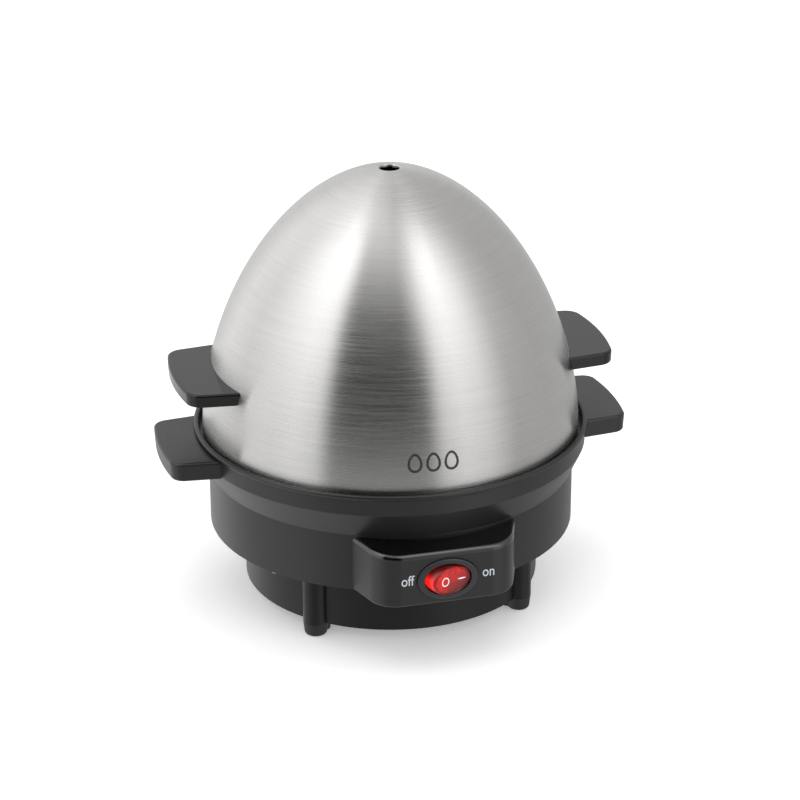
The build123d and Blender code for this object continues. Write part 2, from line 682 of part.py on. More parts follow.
with BuildPart() as switch_terminals:
    for x in (-6.4, 0, 6.4):
        with BuildSketch(Plane.XZ.offset(SWITCH_BACK)):
            with Locations((x, SWITCH_Z)):
                Rectangle(0.8, 4.8)
        extrude(amount=-9)

with BuildPart() as neon_lamp:
    with BuildSketch(Plane.XY.offset(SWITCH_Z - 2.5)):
        with Locations((6.8, PIVOT_Y + 9.5)):
            Circle(1.4)
    extrude(amount=5)
    fillet(neon_lamp.edges().sort_by(Axis.Z)[-1], 1.0)

# ---- Terminal block on the pan's floor ----------------------------------------------------------
BLOCK_Y = 36.0
FLOOR_Z = SKIRT_Z + WALL
with BuildPart() as terminal_block:
    with BuildSketch(Plane.XY.offset(FLOOR_Z)):
        with Locations((0, BLOCK_Y)):
            Rectangle(31, 16)
    extrude(amount=12)
    fillet(terminal_block.edges().filter_by(Axis.Z), 1.2)
    with BuildSketch(Plane.XZ.offset(-BLOCK_Y + 9)):
        with Locations((-10, FLOOR_Z + 5.5), (0, FLOOR_Z + 5.5), (10, FLOOR_Z + 5.5)):
            Circle(1.8)
    extrude(amount=-18, mode=Mode.SUBTRACT)
    with BuildSketch(Plane.XY.offset(FLOOR_Z + 12)):
        with Locations(*[(x, BLOCK_Y + y) for x in (-10, 0, 10) for y in (-4.5, 4.5)]):
            Circle(1.8)
    extrude(amount=-3.5, mode=Mode.SUBTRACT)

with BuildPart() as terminal_screws:
    with BuildSketch(Plane.XY.offset(FLOOR_Z + 8.5)):
        with Locations(*[(x, BLOCK_Y + y) for x in (-10, 0, 10) for y in (-4.5, 4.5)]):
            Circle(1.7)
    extrude(amount=2.6)
    with BuildSketch(Plane.XY.offset(FLOOR_Z + 11.1)):
        with Locations(*[(x, BLOCK_Y + y) for x in (-10, 0, 10) for y in (-4.5, 4.5)]):
            Rectangle(4, 0.5)
    extrude(amount=-0.7, mode=Mode.SUBTRACT)

# ---- Internal wires -----------------------------------------------------------------------------
ENTRY_Z = FLOOR_Z + 5.5
with BuildPart() as wire_live:
    add_wire((10, 26, ENTRY_Z), (10, 10, ENTRY_Z), (14, -20, 14), (14, -40, 22),
             (6.4, -50, SWITCH_Z), (6.4, -60.5, SWITCH_Z))

with BuildPart() as wire_switched:
    add_wire((0, -60.5, SWITCH_Z), (0, -46, SWITCH_Z), (4.6, -30, 24), (4.6, -14, 18),
             (4.6, 0, 18), (4.6, 0, 28), bend=4.0)

with BuildPart() as wire_fuse:
    add_wire((-4.6, 0, 28), (-4.6, 0, 20), (-14, 10, 20), (-30, 22, 30), (-22, 21, FUSE_Z),
             (-12.4, 21, FUSE_Z), bend=3.0)

with BuildPart() as wire_element:
    add_wire((12.4, 21, FUSE_Z), (16, 21, FUSE_Z), (14, 29, 42.6), (9.6, 38.8, 43.5), bend=1.6)

with BuildPart() as wire_neutral:
    add_wire((-10, 46, ENTRY_Z), (-10, 52, ENTRY_Z), (-9.6, 50, 26), (-9.6, 40.7, 34),
             (-9.6, 40.7, 41.6), bend=3.0)

with BuildPart() as wire_earth:
    add_wire((0, 26, ENTRY_Z), (0, 18, ENTRY_Z), (10, 4, 24), (20, -12, 30), (20, -22, 36.9),
             (11.6, -22, 36.9), radius=0.9, bend=3.0)

# ---- Export -------------------------------------------------------------------------------------
PIECES = {
    "base_housing": base_housing,
    "base_pan": base_pan,
    "rubber_feet": rubber_feet,
    "case_screws": case_screws,
    "cord_gland": cord_gland,
    "gland_nut": gland_nut,
    "lid_dome": lid_dome,
    "lid_handle_left": lid_handle_left,
    "lid_handle_right": lid_handle_right,
    "lid_handle_washers": lid_handle_washers,
    "lid_handle_screws": lid_handle_screws,
    "egg_rack": egg_rack,
    "heating_plate": heating_plate,
    "plate_seal": plate_seal,
    "heating_element": heating_element,
    "plate_studs": plate_studs,
    "clamp_plate": clamp_plate,
    "clamp_washers": clamp_washers,
    "clamp_nuts": clamp_nuts,
    "earth_tag": earth_tag,
    "thermostat": thermostat,
    "thermostat_bracket": thermostat_bracket,
    "thermal_fuse": thermal_fuse,
    "fuse_clip": fuse_clip,
    "switch_frame": switch_frame,
    "switch_rocker": switch_rocker,
    "rocker_plunger": rocker_plunger,
    "plunger_spring": plunger_spring,
    "contact_arm": contact_arm,
    "switch_terminals": switch_terminals,
    "neon_lamp": neon_lamp,
    "terminal_block": terminal_block,
    "terminal_screws": terminal_screws,
    "wire_live": wire_live,
    "wire_switched": wire_switched,
    "wire_fuse": wire_fuse,
    "wire_element": wire_element,
    "wire_neutral": wire_neutral,
    "wire_earth": wire_earth,
}
for name, piece in PIECES.items():
    piece.part.label = name
    export_step(piece.part, f"parts/{name}.step")
    print(name, len(piece.part.solids()), round(piece.part.volume / 1000, 2), "cm3")
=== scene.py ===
import bpy
import bmesh
import math
from mathutils import Matrix, Quaternion, Vector


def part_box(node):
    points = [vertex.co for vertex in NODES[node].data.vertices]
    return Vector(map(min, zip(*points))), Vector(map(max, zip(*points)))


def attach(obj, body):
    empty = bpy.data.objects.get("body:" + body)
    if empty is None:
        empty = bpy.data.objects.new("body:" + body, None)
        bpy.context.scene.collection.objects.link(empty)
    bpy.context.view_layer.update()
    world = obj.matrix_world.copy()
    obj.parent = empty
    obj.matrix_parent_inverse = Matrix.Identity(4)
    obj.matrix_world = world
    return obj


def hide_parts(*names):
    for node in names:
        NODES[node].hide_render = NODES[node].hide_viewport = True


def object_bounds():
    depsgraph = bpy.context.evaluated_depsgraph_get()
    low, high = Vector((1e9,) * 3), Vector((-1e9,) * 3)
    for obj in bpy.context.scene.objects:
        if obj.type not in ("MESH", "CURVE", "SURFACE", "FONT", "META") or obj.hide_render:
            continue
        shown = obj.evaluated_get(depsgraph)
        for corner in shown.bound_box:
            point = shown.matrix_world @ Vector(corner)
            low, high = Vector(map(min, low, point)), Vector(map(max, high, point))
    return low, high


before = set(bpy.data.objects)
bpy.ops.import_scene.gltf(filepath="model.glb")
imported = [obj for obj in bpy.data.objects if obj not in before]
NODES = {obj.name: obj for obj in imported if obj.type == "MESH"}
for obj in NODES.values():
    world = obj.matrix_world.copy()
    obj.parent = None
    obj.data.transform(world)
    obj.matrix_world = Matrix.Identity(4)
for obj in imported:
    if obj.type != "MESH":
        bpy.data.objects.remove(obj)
cad_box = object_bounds()
MM = 0.001

# ---- Camera -------------------------------------------------------------------------------------
AZIMUTH, ELEVATION, ROLL = math.radians(-15.0), math.radians(23.24), math.radians(-0.15)
AIM, DISTANCE, LENS = Vector((0.0039, -0.0011, 0.0815)), 1.0665, 114.0

camera = bpy.data.objects.new("camera", bpy.data.cameras.new("camera"))
bpy.context.scene.collection.objects.link(camera)
flat = math.cos(ELEVATION)
back = Vector((math.sin(AZIMUTH) * flat, -math.cos(AZIMUTH) * flat, math.sin(ELEVATION)))
camera.location = AIM + back * DISTANCE
camera.rotation_mode = "QUATERNION"
camera.rotation_quaternion = (-back).to_track_quat("-Z", "Y") @ Quaternion((0, 0, 1), ROLL)
camera.data.lens, camera.data.sensor_width = LENS, 36.0
camera.data.clip_start, camera.data.clip_end = 0.05, 20.0
bpy.context.scene.camera = camera


# ---- Node helpers -------------------------------------------------------------------------------
class Shader:
    """A material or world node tree with short calls for the nodes used here."""

    def __init__(self, tree):
        self.tree = tree
        tree.nodes.clear()

    def node(self, kind, inputs=None, **settings):
        n = self.tree.nodes.new(kind)
        for key, value in settings.items():
            setattr(n, key, value)
        for key, value in (inputs or {}).items():
            self.put(n.inputs[key], value)
        return n

    def put(self, socket, value):
        if isinstance(value, bpy.types.NodeSocket):
            self.tree.links.new(value, socket)
        else:
            socket.default_value = value

    def math(self, operation, a, b=0.0):
        n = self.node("ShaderNodeMath", operation=operation)
        self.put(n.inputs[0], a)
        self.put(n.inputs[1], b)
        return n.outputs[0]

    def span(self, value, low, high, to_low=0.0, to_high=1.0, smooth=False):
        n = self.node("ShaderNodeMapRange", interpolation_type="SMOOTHSTEP" if smooth else "LINEAR")
        limits = {"Value": value, "From Min": low, "From Max": high, "To Min": to_low, "To Max": to_high}
        for key, v in limits.items():
            self.put(n.inputs[key], v)
        return n.outputs["Result"]

    def ramp(self, value, stops):
        """Grey level read from (place, level) stops, straight between them."""
        n = self.node("ShaderNodeValToRGB")
        elements = n.color_ramp.elements
        while len(elements) > 1:
            elements.remove(elements[-1])
        for i, (place, grey) in enumerate(stops):
            e = elements[0] if i == 0 else elements.new(place)
            e.position = place
            e.color = (grey, grey, grey, 1)
        self.put(n.inputs[0], value)
        return n.outputs["Color"]

    def mix(self, factor, a, b, blend="MIX"):
        n = self.node("ShaderNodeMix", data_type="RGBA", blend_type=blend)
        for socket, v in ((n.inputs[0], factor), (n.inputs[6], a), (n.inputs[7], b)):
            self.put(socket, (*v, 1) if isinstance(v, tuple) and len(v) == 3 else v)
        return n.outputs[2]

    def place(self):
        return self.node("ShaderNodeTexCoord").outputs["Object"]

    def scaled(self, vector, scale):
        n = self.node("ShaderNodeVectorMath", operation="MULTIPLY")
        self.put(n.inputs[0], vector)
        n.inputs[1].default_value = scale if isinstance(scale, tuple) else (scale,) * 3
        return n.outputs[0]

    def noise(self, vector, detail=2.0, roughness=0.5):
        inputs = {"Vector": vector, "Scale": 1.0, "Detail": detail, "Roughness": roughness}
        return self.node("ShaderNodeTexNoise", inputs).outputs["Fac"]

    def bump(self, height, strength, distance):
        inputs = {"Height": height, "Strength": strength, "Distance": distance}
        return self.node("ShaderNodeBump", inputs).outputs["Normal"]

    def cells(self, vector):
        """Distance to the nearest point of a scattered set, one or so to each unit of the vector."""
        return self.node("ShaderNodeTexVoronoi", {"Vector": vector, "Scale": 1.0}).outputs["Distance"]

    def parts(self, vector):
        return self.node("ShaderNodeSeparateXYZ", {0: vector}).outputs

    def length(self, a, b):
        return self.math("SQRT", self.math("ADD", self.math("MULTIPLY", a, a), self.math("MULTIPLY", b, b)))

    def surface(self, **inputs):
        names = {k: k.replace("_", " ") for k in inputs}
        bsdf = self.node("ShaderNodeBsdfPrincipled", {names[k]: v for k, v in inputs.items()})
        self.node("ShaderNodeOutputMaterial", {"Surface": bsdf.outputs[0]})
        return bsdf


def material(name):
    m = bpy.data.materials.new(name)
    m.use_nodes = True
    return m, Shader(m.node_tree)


def shaded(colour, share):
    """A colour with each channel times the share."""
    return tuple(c * share for c in colour[:3])


def rgb(r, g, b):
    """Linear colour of an sRGB colour given from 0 to 255."""
    def linear(c):
        c /= 255
        return c / 12.92 if c <= 0.04045 else ((c + 0.055) / 1.055) ** 2.4
    return (linear(r), linear(g), linear(b), 1.0)


# ---- Materials ----------------------------------------------------------------------------------
def plastic(name, colour, roughness, grain=0.45, depth=0.006, spread=0.12, specular=0.5):
    """Moulded plastic: fine spark-eroded grain, and faint cloudy changes in tone and gloss."""
    m, s = material(name)
    p = s.place()
    fine = s.noise(s.scaled(p, 1 / (grain * MM)), detail=3.0, roughness=0.6)
    cloud = s.noise(s.scaled(p, 55.0), detail=3.0)
    tone = s.mix(s.math("ADD", s.math("MULTIPLY", cloud, 0.6), s.math("MULTIPLY", fine, 0.4)),
                 shaded(colour, 1 - spread), shaded(colour, 1 + spread))
    rough = s.span(s.math("ADD", s.math("MULTIPLY", cloud, 0.5), s.math("MULTIPLY", fine, 0.5)), 0.3, 0.7,
                   roughness * 0.9, roughness * 1.1)
    normal = s.bump(fine, 1.0, depth * MM)
    s.surface(Base_Color=tone, Roughness=rough, Normal=normal, Specular_IOR_Level=specular)
    return m


def brushed_steel(name, colour):
    """Steel brushed round the axis: streaks along the parallels, blurred reflections across them."""
    m, s = material(name)
    x, y, z = s.parts(s.place())
    along = s.math("SUBTRACT", z, s.length(x, y))
    stretched = []
    # Changes per metre round the dome, and from one parallel to the next.
    for run, pitch in ((50.0, 3600.0), (26.0, 2200.0), (8.0, 500.0)):
        v = s.node("ShaderNodeCombineXYZ", {0: s.math("MULTIPLY", x, run), 1: s.math("MULTIPLY", y, run),
                                            2: s.math("MULTIPLY", along, pitch)})
        stretched.append(s.noise(v.outputs[0], detail=2.0, roughness=0.6))
    fine, scratch, band = stretched
    streak = s.math("ADD", s.math("MULTIPLY", fine, 0.6), s.math("MULTIPLY", scratch, 0.4))
    tone = s.mix(s.span(streak, 0.36, 0.64), shaded(colour, 0.93), shaded(colour, 1.06))
    tone = s.mix(s.span(band, 0.3, 0.7), tone, s.mix(1.0, tone, (0.97, 0.97, 0.975), "MULTIPLY"))
    rough = s.span(streak, 0.36, 0.64, 0.23, 0.31)
    tangent = s.node("ShaderNodeTangent", direction_type="RADIAL", axis="Z").outputs[0]
    normal = s.bump(streak, 0.08, 0.02 * MM)
    s.surface(Base_Color=tone, Roughness=rough, Normal=normal, Metallic=1.0, Anisotropic=0.96,
              Anisotropic_Rotation=0.25, Tangent=tangent)
    return m


def metal(name, colour, roughness, run=(300.0, 300.0, 300.0), depth=0.01, spread=0.1):
    """Plated, cast or cut metal, with grain stretched by the three scales."""
    m, s = material(name)
    p = s.place()
    grain = s.noise(s.scaled(p, run), detail=3.0, roughness=0.6)
    stain = s.noise(s.scaled(p, 90.0), detail=2.0)
    tone = s.mix(s.span(grain, 0.3, 0.7), shaded(colour, 1 - spread), shaded(colour, 1))
    tone = s.mix(s.span(stain, 0.45, 0.75, 0.0, 0.35), tone, s.mix(1.0, tone, (0.8, 0.79, 0.77), "MULTIPLY"))
    rough = s.span(grain, 0.3, 0.7, roughness * 0.85, roughness * 1.2)
    s.surface(Base_Color=tone, Roughness=rough, Metallic=1.0, Normal=s.bump(grain, 0.6, depth * MM))
    return m


def coated_plate(name):
    """Dark non-stick coating with fine light speckles and faint turned rings."""
    m, s = material(name)
    p = s.place()
    x, y, _ = s.parts(p)
    ring_pitch, speck_pitch = 1.1 * MM, 1.6 * MM
    rings = s.math("SINE", s.math("MULTIPLY", s.length(x, y), 2 * math.pi / ring_pitch))
    speck = s.cells(s.scaled(p, 1 / speck_pitch))
    cloud = s.noise(s.scaled(p, 60.0), detail=3.0)
    base = s.mix(cloud, rgb(70, 71, 74)[:3], rgb(92, 93, 96)[:3])
    tone = s.mix(s.span(speck, 0.12, 0.2, 0.5, 0.0), base, rgb(176, 178, 182)[:3])
    normal = s.bump(s.math("ADD", s.math("MULTIPLY", rings, 0.25), cloud), 0.4, 0.02 * MM)
    s.surface(Base_Color=tone, Roughness=s.span(cloud, 0.3, 0.7, 0.3, 0.42), Metallic=0.35, Normal=normal)
    return m


ROCKER_OUTLINE = (8.33, 5.75)  # half axes of the rocker's face


def lit_red(name):
    """Clear red cap of the switch, lit from inside: a hot spot in its raised side wall, a mottled face."""
    m, s = material(name)
    p = s.place()
    x, y, z = s.parts(s.scaled(p, 1 / MM))
    cloud = s.noise(s.scaled(p, 520.0), detail=2.0)
    facets = s.cells(s.scaled(p, 600.0))
    # The face glows most at its upper left, less to its lower right.
    slant = s.math("SUBTRACT", s.math("MULTIPLY", z, 0.6), s.math("MULTIPLY", x, 0.45))
    face = s.span(slant, -4.5, 2.5, 0.07, 0.66, smooth=True)
    face = s.math("MULTIPLY", face, s.span(cloud, 0.3, 0.7, 0.7, 1.25))
    face = s.math("MULTIPLY", face, s.span(facets, 0.0, 0.8, 1.15, 0.8))
    # The hot spot is half way up the raised end of the side wall.
    spot = s.math("MULTIPLY", s.span(s.math("ABSOLUTE", z), 0.8, 4.2, 1.0, 0.06, smooth=True),
                  s.span(x, -8.4, -2.0, 1.0, 0.14, smooth=True))
    wall = s.span(y, -3.95, -3.3, 0.0, 1.0, smooth=True)
    front = s.math("SUBTRACT", 1.0, wall)
    glow = s.math("ADD", s.math("MULTIPLY", face, front), s.math("MULTIPLY", spot, wall))
    # The rim round the face is darker.
    share = s.length(s.math("DIVIDE", x, ROCKER_OUTLINE[0]), s.math("DIVIDE", z, ROCKER_OUTLINE[1]))
    rim = s.math("MULTIPLY", s.span(share, 0.86, 0.9), front)
    glow = s.math("MULTIPLY", glow, s.math("SUBTRACT", 1.0, s.math("MULTIPLY", rim, 0.62)))
    s.surface(Base_Color=(0.07, 0.003, 0.003, 1), Roughness=0.14, Normal=s.bump(cloud, 0.15, 0.05 * MM),
              Emission_Color=(1.0, 0.012, 0.006, 1), Emission_Strength=glow)
    return m


BODY_WALL_R = 77.0  # body wall, which the switch housing stands ahead of
CROWN_R, CROWN_Y, CROWN_Z = 163.0, -60.0, 55.2  # curve of the switch housing's top, and where it is level
TOP_FILLET = 2.0


def housing_plastic(name, colour, roughness):
    """Satin moulding whose switch housing has a polished top: a crowned surface ahead of the body wall."""
    m, s = material(name)
    p = s.place()
    x, y, z = s.parts(s.scaled(p, 1 / MM))
    run = s.math("SUBTRACT", y, CROWN_Y)
    # Height with the crown's fall made good, so that the whole top lies at the same level.
    level = s.math("ADD", z, s.math("DIVIDE", s.math("MULTIPLY", run, run), 2 * CROWN_R))
    low, high = CROWN_Z - TOP_FILLET, CROWN_Z + 0.3
    top = s.math("MULTIPLY", s.span(level, low - 0.05, low + 0.2), s.span(level, high, high + 0.3, 1.0, 0.0))
    ahead = s.math("MULTIPLY", s.span(s.length(x, y), BODY_WALL_R + 0.1, BODY_WALL_R + 0.3),
                   s.math("LESS_THAN", y, CROWN_Y))
    top = s.math("MULTIPLY", top, ahead)
    fine = s.noise(s.scaled(p, 1 / (0.45 * MM)), detail=3.0, roughness=0.6)
    cloud = s.noise(s.scaled(p, 55.0), detail=3.0)
    tone = s.mix(s.math("ADD", s.math("MULTIPLY", cloud, 0.6), s.math("MULTIPLY", fine, 0.4)),
                 shaded(colour, 0.88), shaded(colour, 1.12))
    tone = s.mix(top, tone, (0.0022, 0.0022, 0.0024))
    satin = s.span(s.math("ADD", s.math("MULTIPLY", cloud, 0.5), s.math("MULTIPLY", fine, 0.5)), 0.3, 0.7,
                   roughness * 0.9, roughness * 1.1)
    rough = s.span(top, 0.0, 1.0, satin, 0.1)
    relief = s.math("MULTIPLY", fine, s.math("SUBTRACT", 1.0, top))
    s.surface(Base_Color=tone, Roughness=rough, Normal=s.bump(relief, 1.0, 0.006 * MM), Coat_Weight=top,
              Coat_Roughness=0.05)
    return m


def ink(name, colour, roughness=0.5):
    """Pad-printed ink, slightly uneven in cover."""
    m, s = material(name)
    p = s.place()
    cover = s.noise(s.scaled(p, 2500.0), detail=2.0)
    tone = s.mix(s.span(cover, 0.3, 0.7), shaded(colour, 0.86), shaded(colour, 1))
    s.surface(Base_Color=tone, Roughness=roughness, Normal=s.bump(cover, 0.3, 0.01 * MM))
    return m


LOOKS = {
    "steel_brushed": brushed_steel("steel_brushed_dome", rgb(205, 204, 202)),
    "black_satin": plastic("black_satin_moulding", rgb(30, 30, 31), 0.34),
    "black_gloss": plastic("black_gloss_moulding", rgb(17, 17, 18), 0.13, grain=0.9, depth=0.002,
                           specular=0.42),
    "rubber_black": plastic("black_rubber", rgb(30, 30, 31), 0.6, grain=0.3, depth=0.015),
    "rack_plastic": plastic("black_rack_moulding", rgb(38, 38, 39), 0.38, depth=0.004),
    "plate_coating": coated_plate("plate_coating_speckled"),
    "silicone_red": plastic("red_silicone", rgb(176, 52, 38), 0.5, grain=0.6, depth=0.01),
    "aluminium_cast": metal("cast_aluminium", rgb(196, 197, 200), 0.42, (700.0, 700.0, 700.0), 0.04, 0.2),
    "steel_zinc": metal("zinc_plated_steel", rgb(206, 208, 206), 0.28, (900.0, 120.0, 900.0)),
    "brass": metal("cut_brass", rgb(214, 180, 110), 0.26, (900.0, 150.0, 900.0)),
    "fuse_sleeve": plastic("fuse_sleeve_weave", rgb(226, 222, 206), 0.7, grain=0.5, depth=0.08),
    "bezel_grey": plastic("bezel_moulding", rgb(40, 41, 43), 0.3, grain=0.5, depth=0.003),
    "rocker_red": lit_red("rocker_clear_red"),
    "rocker_white": plastic("white_nylon", rgb(226, 225, 220), 0.35),
    "lamp_glass": lit_red("lamp_glass_lit"),
    "block_ceramic": plastic("ceramic_block", rgb(232, 230, 222), 0.3, grain=0.8, depth=0.01),
    "wire_brown": plastic("wire_sheath_brown", rgb(112, 72, 48), 0.4, grain=0.7),
    "wire_blue": plastic("wire_sheath_blue", rgb(52, 100, 178), 0.4, grain=0.7),
    "wire_white": plastic("wire_sheath_white", rgb(224, 222, 214), 0.45, grain=0.7),
    "wire_green": plastic("wire_sheath_green", rgb(128, 168, 72), 0.4, grain=0.7),
}
for obj in NODES.values():
    for slot in obj.material_slots:
        slot.material = LOOKS[slot.material.name]
# Painted shade: the base pan takes a darker, less shiny copy of the black moulding, so that the low skirt
# stays dark against the light the glowing floor throws up on it.
pan_painted_shade_look = plastic("pan_moulding_painted_shade", rgb(17, 17, 18), 0.4, specular=0.34)
NODES["base_pan"].material_slots[0].material = pan_painted_shade_look
housing_look = housing_plastic("housing_moulding", rgb(28, 28, 29), 0.34)
NODES["base_housing"].material_slots[0].material = housing_look


# ---- Mesh helpers -------------------------------------------------------------------------------
def finish_mesh(name, bm, look, body, smooth_angle=35.0):
    """Object from a bmesh, riding on a body if one is named, with edges past the angle left sharp."""
    bmesh.ops.recalc_face_normals(bm, faces=bm.faces)
    mesh = bpy.data.meshes.new(name)
    bm.to_mesh(mesh)
    bm.free()
    mesh.materials.append(look)
    mesh.polygons.foreach_set("use_smooth", [True] * len(mesh.polygons))
    mesh.set_sharp_from_angle(angle=math.radians(smooth_angle))
    obj = bpy.data.objects.new(name, mesh)
    bpy.context.scene.collection.objects.link(obj)
    if body:
        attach(obj, body)
    return obj


def revolve(bm, profile, segments):
    """Closed profile of (radius, height) points in millimetres, turned round the Z axis."""
    rings = []
    for r, z in profile:
        rings.append([bm.verts.new((r * MM * math.cos(a), r * MM * math.sin(a), z * MM))
                      for a in (2 * math.pi * i / segments for i in range(segments))])
    for k, ring in enumerate(rings):
        after = rings[(k + 1) % len(rings)]
        for i in range(segments):
            j = (i + 1) % segments
            bm.faces.new((ring[i], ring[j], after[j], after[i]))


def ring_strip(bm, outer, inner):
    """Band between two closed lines of points with the same count."""
    a = [bm.verts.new(p) for p in outer]
    b = [bm.verts.new(p) for p in inner]
    for i in range(len(a)):
        j = (i + 1) % len(a)
        bm.faces.new((a[i], a[j], b[j], b[i]))


# ---- Steel dome ---------------------------------------------------------------------------------
DOME_R, DOME_T, DOME_Z, DOME_TOP = 79.1, 0.8, 74.7, 184.4
POWER_R, POWER_Z = 1.898, 1.73
HEM_R, HEM_Z = 0.9, 71.9
VENT_R, VENT_LIP = 4.15, 0.5
DOME_SEGMENTS = 256


def dome_radius(z):
    """Outer radius of the dome at a height."""
    rise = min(max((z - DOME_Z) / (DOME_TOP - DOME_Z), 0.0), 1.0)
    return DOME_R * (1 - rise ** POWER_Z) ** (1 / POWER_R)


def dome_point(turn, inset):
    """Radius and height on the dome for a turn from 0 to a right angle, inset along the normal."""
    height = DOME_TOP - DOME_Z
    rise = math.sin(turn) ** (2 / POWER_Z)
    across = max(math.cos(turn), 1e-9) ** (2 / POWER_R)
    lean_r = POWER_R / DOME_R * across ** (POWER_R - 1)
    lean_z = POWER_Z / height * rise ** (POWER_Z - 1)
    length = math.hypot(lean_r, lean_z)
    return (DOME_R * across - inset * lean_r / length, DOME_Z + height * rise - inset * lean_z / length)


def dome_line(inset, count=110):
    """Points of one face of the dome from its rim up to the vent."""
    points = []
    for i in range(count + 1):
        turn = math.pi / 2 * (i / count) ** 0.9
        r, z = dome_point(turn, inset)
        if r < VENT_R + VENT_LIP:
            break
        points.append((r, z))
    return points


outside = dome_line(0.0)
inside = dome_line(DOME_T)
top_z = outside[-1][1]
under = top_z - DOME_T
lip = [(VENT_R + VENT_LIP * (1 - math.sin(a)), top_z - VENT_LIP * (1 - math.cos(a)) + 0.02)
       for a in (math.radians(t) for t in range(0, 91, 18))]
lip += [(VENT_R, under - 0.35), (VENT_R + 0.25, under - 0.55), (VENT_R + 0.5, under - 0.3)]
hem = [(DOME_R - HEM_R + HEM_R * math.cos(a), HEM_Z + HEM_R * math.sin(a))
       for a in (math.radians(t) for t in range(205, 365, 12))]
dome_profile = outside + lip + inside[::-1] + [(DOME_R - DOME_T, HEM_Z + 0.75)]
dome_profile += hem + [(DOME_R, HEM_Z + 0.6)]
bm = bmesh.new()
revolve(bm, dome_profile, DOME_SEGMENTS)
dome = finish_mesh("dome_skin", bm, LOOKS["steel_brushed"], "lid", 50.0)
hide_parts("lid_dome")

# ---- Printed egg mark on the dome ---------------------------------------------------------------
dome_ink = ink("dark_print", rgb(46, 46, 48), 0.35)


PRINT_LIFT = 0.03


def on_dome(angle, z):
    r = (dome_radius(z) + PRINT_LIFT) * MM
    return (r * math.sin(angle), -r * math.cos(angle), z * MM)


def egg_outline(centre_angle, centre_z, width, height, count=72):
    """Egg shape wrapped on the dome, wider below."""
    points = []
    for i in range(count):
        t = 2 * math.pi * i / count
        half = width / 2 * (1 - 0.16 * math.sin(t))
        u, v = half * math.cos(t), height / 2 * math.sin(t)
        z = centre_z + v
        points.append(on_dome(centre_angle + u / dome_radius(z), z))
    return points


MARK_ANGLE, MARK_Z, MARK_PITCH = math.radians(-2.3), 87.6, 7.4
EGG_OUTSIDE, EGG_INSIDE = (5.9, 7.8), (3.9, 5.8)
bm = bmesh.new()
for place in (-1, 0, 1):
    angle = MARK_ANGLE + place * MARK_PITCH / dome_radius(MARK_Z)
    ring_strip(bm, egg_outline(angle, MARK_Z, *EGG_OUTSIDE), egg_outline(angle, MARK_Z, *EGG_INSIDE))
finish_mesh("egg_mark_print", bm, dome_ink, "lid")

# ---- Words beside the switch --------------------------------------------------------------------
word_ink = ink("pale_print", rgb(196, 204, 212), 0.45)
FACE_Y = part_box("base_housing")[0].y
WORD_SIZE, WORD_WIDTH, WORD_DEPTH = 6.3, 0.79, 0.02


def word(text, left, baseline):
    """Raised print of a word on the switch housing's front, kept as a mesh."""
    curve = bpy.data.curves.new("word_" + text, "FONT")
    curve.body, curve.size, curve.resolution_u = text, WORD_SIZE * MM, 6
    curve.extrude = WORD_DEPTH * MM
    curve.offset = 0.02 * MM
    obj = bpy.data.objects.new("word_" + text, curve)
    obj.location = (left * MM, FACE_Y - WORD_DEPTH * MM, baseline * MM)
    obj.rotation_euler = (math.pi / 2, 0, 0)
    obj.scale.x = WORD_WIDTH
    bpy.context.scene.collection.objects.link(obj)
    bpy.context.view_layer.update()
    mesh = bpy.data.meshes.new_from_object(obj.evaluated_get(bpy.context.evaluated_depsgraph_get()))
    matrix = obj.matrix_world.copy()
    bpy.data.objects.remove(obj)
    mesh.transform(matrix)
    made = bpy.data.objects.new("word_" + text, mesh)
    mesh.materials.clear()
    mesh.materials.append(word_ink)
    bpy.context.scene.collection.objects.link(made)
    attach(made, "base")


word("off", -19.1, 39.75)
word("on", 14.35, 39.9)

# ---- Painted shadow in the groove round the bezel -----------------------------------------------
SWITCH_Z = 41.1
BEZEL = (12.5, 8.7)


def oval(half_x, half_z, y, count=96):
    return [(half_x * math.cos(t) * MM, y * MM, (SWITCH_Z + half_z * math.sin(t)) * MM)
            for t in (2 * math.pi * i / count for i in range(count))]


# Painted shadow: a thin near-black ring, just proud of the housing's face round the bezel, stands in for the
# shade in the gap where the bezel meets the housing.
painted_groove_shadow_look = plastic("groove_shadow", rgb(9, 9, 10), 0.7, depth=0.002)
bm = bmesh.new()
face = FACE_Y / MM
# How far each line stands out from the bezel's outline, and ahead of the housing's face.
GROOVE_SHADOW_RING = ((-0.2, 0.0), (-0.2, 0.05), (0.3, 0.05), (0.36, 0.0))
lines = [oval(BEZEL[0] + out, BEZEL[1] + out, face - ahead) for out, ahead in GROOVE_SHADOW_RING]
for a, b in zip(lines, lines[1:]):
    ring_strip(bm, a, b)
bmesh.ops.remove_doubles(bm, verts=bm.verts, dist=1e-7)
finish_mesh("bezel_painted_groove_shadow", bm, painted_groove_shadow_look, "base")

# ---- Rocker -------------------------------------------------------------------------------------
ROCKER = (9.35, 6.45)  # half axes of the side wall at the pivot
ROCKER_FACE, FACE_DISH = 4.24, 0.5
PIVOT = Vector((0.0, -87.0, SWITCH_Z)) * MM
ROCKER_TURN = math.radians(16.0)
ROCKER_BACK = 5.4
COUNT = 96
rocker_place = Matrix.Translation(PIVOT) @ Matrix.Rotation(ROCKER_TURN, 4, "Z")


def face_y(x):
    """Depth of the dished face at a distance across it."""
    return -(ROCKER_FACE - FACE_DISH * (1 - (x / ROCKER_OUTLINE[0]) ** 2))


TURNS = [2 * math.pi * i / COUNT for i in range(COUNT)]


def wall_ring(depth):
    """Points round the side wall at a depth behind the pivot."""
    k = math.sqrt(1 - (depth / ROCKER[0]) ** 2)
    return [(ROCKER[0] * k * math.cos(t), depth, ROCKER[1] * k * math.sin(t)) for t in TURNS]


